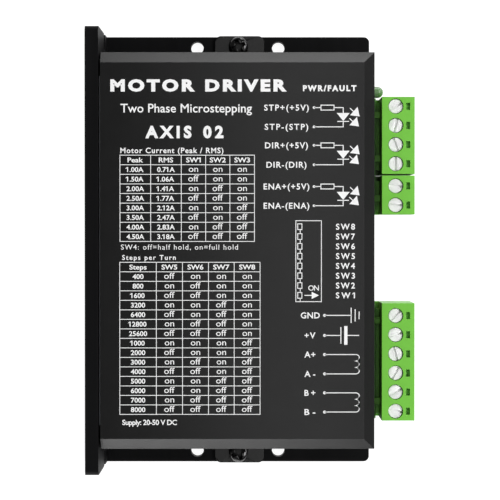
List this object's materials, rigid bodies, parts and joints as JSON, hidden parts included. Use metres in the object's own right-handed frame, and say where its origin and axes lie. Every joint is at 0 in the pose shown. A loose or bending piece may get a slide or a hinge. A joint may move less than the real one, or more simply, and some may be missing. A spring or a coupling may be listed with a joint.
{
  "type": "stepper motor driver",
  "caption": "Boxed stepper motor driver: black L-shaped heat sink and folded cover, pluggable green screw terminals and a setting switch along one side.",
  "frame": {"origin": "centre of the four base holes, on the back face of the heat sink", "axes": "+Z out of the back face towards the printed cover, +Y along the long side towards the top of the print, +X towards the side with the plugs"},
  "size_m": [0.0869, 0.1184, 0.034],
  "materials": {
    "black_anodised": "fine satin black anodised",
    "cover_paint": "satin black powder coat with white print",
    "black_screws": "black zinc",
    "board": "solder mask",
    "spacer_brass": "plain",
    "zinc_screws": "zinc",
    "socket_plastic": "satin",
    "tinned_pins": "tinned",
    "switch_red": "satin",
    "green_lens": "clear tinted",
    "red_lens": "clear tinted",
    "plug_plastic": "satin",
    "contact_metal": "tinned",
    "transistor_case": "moulded",
    "thermal_rubber": "matte",
    "clamp_steel": "zinc",
    "capacitor_sleeve": "sleeve",
    "ferrite": "matte",
    "chip_case": "moulded",
    "resistor_case": "moulded",
    "lever_white": "satin",
    "terminal_nickel": "nickel plated",
    "clamp_nickel": "nickel plated"
  },
  "bodies": {
    "housing": {"alarm_led": "red_lens", "board_screws": "zinc_screws", "board_spacers": "spacer_brass", "capacitors": "capacitor_sleeve", "circuit_board": "board", "clamp_bar": "clamp_steel", "clamp_screws": "zinc_screws", "controller_chip": "chip_case", "cover": "cover_paint", "cover_screws": "black_screws", "header_pins": "tinned_pins", "heat_sink": "black_anodised", "inductor": "ferrite", "optocouplers": "chip_case", "power_header": "socket_plastic", "power_led": "green_lens", "power_transistors": "transistor_case", "sense_resistors": "resistor_case", "signal_header_2": "socket_plastic", "signal_header_4": "socket_plastic", "switch_housing": "switch_red", "thermal_pad": "thermal_rubber"},
    "signal_plug_4": {"signal_plug_4": "plug_plastic", "contacts_signal_4": "contact_metal"},
    "signal_plug_2": {"signal_plug_2": "plug_plastic", "contacts_signal_2": "contact_metal"},
    "power_plug": {"power_plug": "plug_plastic", "contacts_power": "contact_metal"},
    "switch_lever_1": {"switch_lever_1": "lever_white"},
    "switch_lever_2": {"switch_lever_2": "lever_white"},
    "switch_lever_3": {"switch_lever_3": "lever_white"},
    "switch_lever_4": {"switch_lever_4": "lever_white"},
    "switch_lever_5": {"switch_lever_5": "lever_white"},
    "switch_lever_6": {"switch_lever_6": "lever_white"},
    "switch_lever_7": {"switch_lever_7": "lever_white"},
    "switch_lever_8": {"switch_lever_8": "lever_white"},
    "terminal_screw_1": {"terminal_screw_1": "terminal_nickel"},
    "wire_clamp_1": {"wire_clamp_1": "clamp_nickel"},
    "terminal_screw_2": {"terminal_screw_2": "terminal_nickel"},
    "wire_clamp_2": {"wire_clamp_2": "clamp_nickel"},
    "terminal_screw_3": {"terminal_screw_3": "terminal_nickel"},
    "wire_clamp_3": {"wire_clamp_3": "clamp_nickel"},
    "terminal_screw_4": {"terminal_screw_4": "terminal_nickel"},
    "wire_clamp_4": {"wire_clamp_4": "clamp_nickel"},
    "terminal_screw_5": {"terminal_screw_5": "terminal_nickel"},
    "wire_clamp_5": {"wire_clamp_5": "clamp_nickel"},
    "terminal_screw_6": {"terminal_screw_6": "terminal_nickel"},
    "wire_clamp_6": {"wire_clamp_6": "clamp_nickel"},
    "terminal_screw_7": {"terminal_screw_7": "terminal_nickel"},
    "wire_clamp_7": {"wire_clamp_7": "clamp_nickel"},
    "terminal_screw_8": {"terminal_screw_8": "terminal_nickel"},
    "wire_clamp_8": {"wire_clamp_8": "clamp_nickel"},
    "terminal_screw_9": {"terminal_screw_9": "terminal_nickel"},
    "wire_clamp_9": {"wire_clamp_9": "clamp_nickel"},
    "terminal_screw_10": {"terminal_screw_10": "terminal_nickel"},
    "wire_clamp_10": {"wire_clamp_10": "clamp_nickel"},
    "terminal_screw_11": {"terminal_screw_11": "terminal_nickel"},
    "wire_clamp_11": {"wire_clamp_11": "clamp_nickel"},
    "terminal_screw_12": {"terminal_screw_12": "terminal_nickel"},
    "wire_clamp_12": {"wire_clamp_12": "clamp_nickel"}
  },
  "joints": [
    {"name": "signal_plug_4_slide", "type": "slide", "parent": "housing", "child": "signal_plug_4", "axis": [1, 0, 0], "range_m": [0, 0.012]},
    {"name": "signal_plug_2_slide", "type": "slide", "parent": "housing", "child": "signal_plug_2", "axis": [1, 0, 0], "range_m": [0, 0.012]},
    {"name": "power_plug_slide", "type": "slide", "parent": "housing", "child": "power_plug", "axis": [1, 0, 0], "range_m": [0, 0.012]},
    {"name": "switch_lever_1_slide", "type": "slide", "parent": "housing", "child": "switch_lever_1", "axis": [0, 0, -1], "range_m": [0, 0.0016]},
    {"name": "switch_lever_2_slide", "type": "slide", "parent": "housing", "child": "switch_lever_2", "axis": [0, 0, -1], "range_m": [0, 0.0016]},
    {"name": "switch_lever_3_slide", "type": "slide", "parent": "housing", "child": "switch_lever_3", "axis": [0, 0, -1], "range_m": [0, 0.0016]},
    {"name": "switch_lever_4_slide", "type": "slide", "parent": "housing", "child": "switch_lever_4", "axis": [0, 0, -1], "range_m": [0, 0.0016]},
    {"name": "switch_lever_5_slide", "type": "slide", "parent": "housing", "child": "switch_lever_5", "axis": [0, 0, -1], "range_m": [0, 0.0016]},
    {"name": "switch_lever_6_slide", "type": "slide", "parent": "housing", "child": "switch_lever_6", "axis": [0, 0, -1], "range_m": [0, 0.0016]},
    {"name": "switch_lever_7_slide", "type": "slide", "parent": "housing", "child": "switch_lever_7", "axis": [0, 0, -1], "range_m": [0, 0.0016]},
    {"name": "switch_lever_8_slide", "type": "slide", "parent": "housing", "child": "switch_lever_8", "axis": [0, 0, -1], "range_m": [0, 0.0016]},
    {"name": "terminal_screw_1_turn", "type": "hinge", "parent": "signal_plug_4", "child": "terminal_screw_1", "pos_m": [0.04203, 0.03826, 0.023], "axis": [0, 0, -1], "range_deg": [0, 1445]},
    {"name": "wire_clamp_1_rise", "type": "slide", "parent": "signal_plug_4", "child": "wire_clamp_1", "axis": [0, 0, 1], "range_m": [0, 0.002]},
    {"name": "terminal_screw_2_turn", "type": "hinge", "parent": "signal_plug_4", "child": "terminal_screw_2", "pos_m": [0.04203, 0.03318, 0.023], "axis": [0, 0, -1], "range_deg": [0, 1445]},
    {"name": "wire_clamp_2_rise", "type": "slide", "parent": "signal_plug_4", "child": "wire_clamp_2", "axis": [0, 0, 1], "range_m": [0, 0.002]},
    {"name": "terminal_screw_3_turn", "type": "hinge", "parent": "signal_plug_4", "child": "terminal_screw_3", "pos_m": [0.04203, 0.0281, 0.023], "axis": [0, 0, -1], "range_deg": [0, 1445]},
    {"name": "wire_clamp_3_rise", "type": "slide", "parent": "signal_plug_4", "child": "wire_clamp_3", "axis": [0, 0, 1], "range_m": [0, 0.002]},
    {"name": "terminal_screw_4_turn", "type": "hinge", "parent": "signal_plug_4", "child": "terminal_screw_4", "pos_m": [0.04203, 0.02302, 0.023], "axis": [0, 0, -1], "range_deg": [0, 1445]},
    {"name": "wire_clamp_4_rise", "type": "slide", "parent": "signal_plug_4", "child": "wire_clamp_4", "axis": [0, 0, 1], "range_m": [0, 0.002]},
    {"name": "terminal_screw_5_turn", "type": "hinge", "parent": "signal_plug_2", "child": "terminal_screw_5", "pos_m": [0.04203, 0.01715, 0.023], "axis": [0, 0, -1], "range_deg": [0, 1445]},
    {"name": "wire_clamp_5_rise", "type": "slide", "parent": "signal_plug_2", "child": "wire_clamp_5", "axis": [0, 0, 1], "range_m": [0, 0.002]},
    {"name": "terminal_screw_6_turn", "type": "hinge", "parent": "signal_plug_2", "child": "terminal_screw_6", "pos_m": [0.04203, 0.01207, 0.023], "axis": [0, 0, -1], "range_deg": [0, 1445]},
    {"name": "wire_clamp_6_rise", "type": "slide", "parent": "signal_plug_2", "child": "wire_clamp_6", "axis": [0, 0, 1], "range_m": [0, 0.002]},
    {"name": "terminal_screw_7_turn", "type": "hinge", "parent": "power_plug", "child": "terminal_screw_7", "pos_m": [0.04203, -0.01725, 0.023], "axis": [0, 0, -1], "range_deg": [0, 1445]},
    {"name": "wire_clamp_7_rise", "type": "slide", "parent": "power_plug", "child": "wire_clamp_7", "axis": [0, 0, 1], "range_m": [0, 0.002]},
    {"name": "terminal_screw_8_turn", "type": "hinge", "parent": "power_plug", "child": "terminal_screw_8", "pos_m": [0.04203, -0.02233, 0.023], "axis": [0, 0, -1], "range_deg": [0, 1445]},
    {"name": "wire_clamp_8_rise", "type": "slide", "parent": "power_plug", "child": "wire_clamp_8", "axis": [0, 0, 1], "range_m": [0, 0.002]},
    {"name": "terminal_screw_9_turn", "type": "hinge", "parent": "power_plug", "child": "terminal_screw_9", "pos_m": [0.04203, -0.02741, 0.023], "axis": [0, 0, -1], "range_deg": [0, 1445]},
    {"name": "wire_clamp_9_rise", "type": "slide", "parent": "power_plug", "child": "wire_clamp_9", "axis": [0, 0, 1], "range_m": [0, 0.002]},
    {"name": "terminal_screw_10_turn", "type": "hinge", "parent": "power_plug", "child": "terminal_screw_10", "pos_m": [0.04203, -0.03249, 0.023], "axis": [0, 0, -1], "range_deg": [0, 1445]},
    {"name": "wire_clamp_10_rise", "type": "slide", "parent": "power_plug", "child": "wire_clamp_10", "axis": [0, 0, 1], "range_m": [0, 0.002]},
    {"name": "terminal_screw_11_turn", "type": "hinge", "parent": "power_plug", "child": "terminal_screw_11", "pos_m": [0.04203, -0.03757, 0.023], "axis": [0, 0, -1], "range_deg": [0, 1445]},
    {"name": "wire_clamp_11_rise", "type": "slide", "parent": "power_plug", "child": "wire_clamp_11", "axis": [0, 0, 1], "range_m": [0, 0.002]},
    {"name": "terminal_screw_12_turn", "type": "hinge", "parent": "power_plug", "child": "terminal_screw_12", "pos_m": [0.04203, -0.04265, 0.023], "axis": [0, 0, -1], "range_deg": [0, 1445]},
    {"name": "wire_clamp_12_rise", "type": "slide", "parent": "power_plug", "child": "wire_clamp_12", "axis": [0, 0, 1], "range_m": [0, 0.002]}
  ],
  "couplings": [
    {"joint": "terminal_screw_1_turn", "follows": "wire_clamp_1_rise", "rad_per_m": 12566},
    {"joint": "terminal_screw_2_turn", "follows": "wire_clamp_2_rise", "rad_per_m": 12566},
    {"joint": "terminal_screw_3_turn", "follows": "wire_clamp_3_rise", "rad_per_m": 12566},
    {"joint": "terminal_screw_4_turn", "follows": "wire_clamp_4_rise", "rad_per_m": 12566},
    {"joint": "terminal_screw_5_turn", "follows": "wire_clamp_5_rise", "rad_per_m": 12566},
    {"joint": "terminal_screw_6_turn", "follows": "wire_clamp_6_rise", "rad_per_m": 12566},
    {"joint": "terminal_screw_7_turn", "follows": "wire_clamp_7_rise", "rad_per_m": 12566},
    {"joint": "terminal_screw_8_turn", "follows": "wire_clamp_8_rise", "rad_per_m": 12566},
    {"joint": "terminal_screw_9_turn", "follows": "wire_clamp_9_rise", "rad_per_m": 12566},
    {"joint": "terminal_screw_10_turn", "follows": "wire_clamp_10_rise", "rad_per_m": 12566},
    {"joint": "terminal_screw_11_turn", "follows": "wire_clamp_11_rise", "rad_per_m": 12566},
    {"joint": "terminal_screw_12_turn", "follows": "wire_clamp_12_rise", "rad_per_m": 12566}
  ]
}
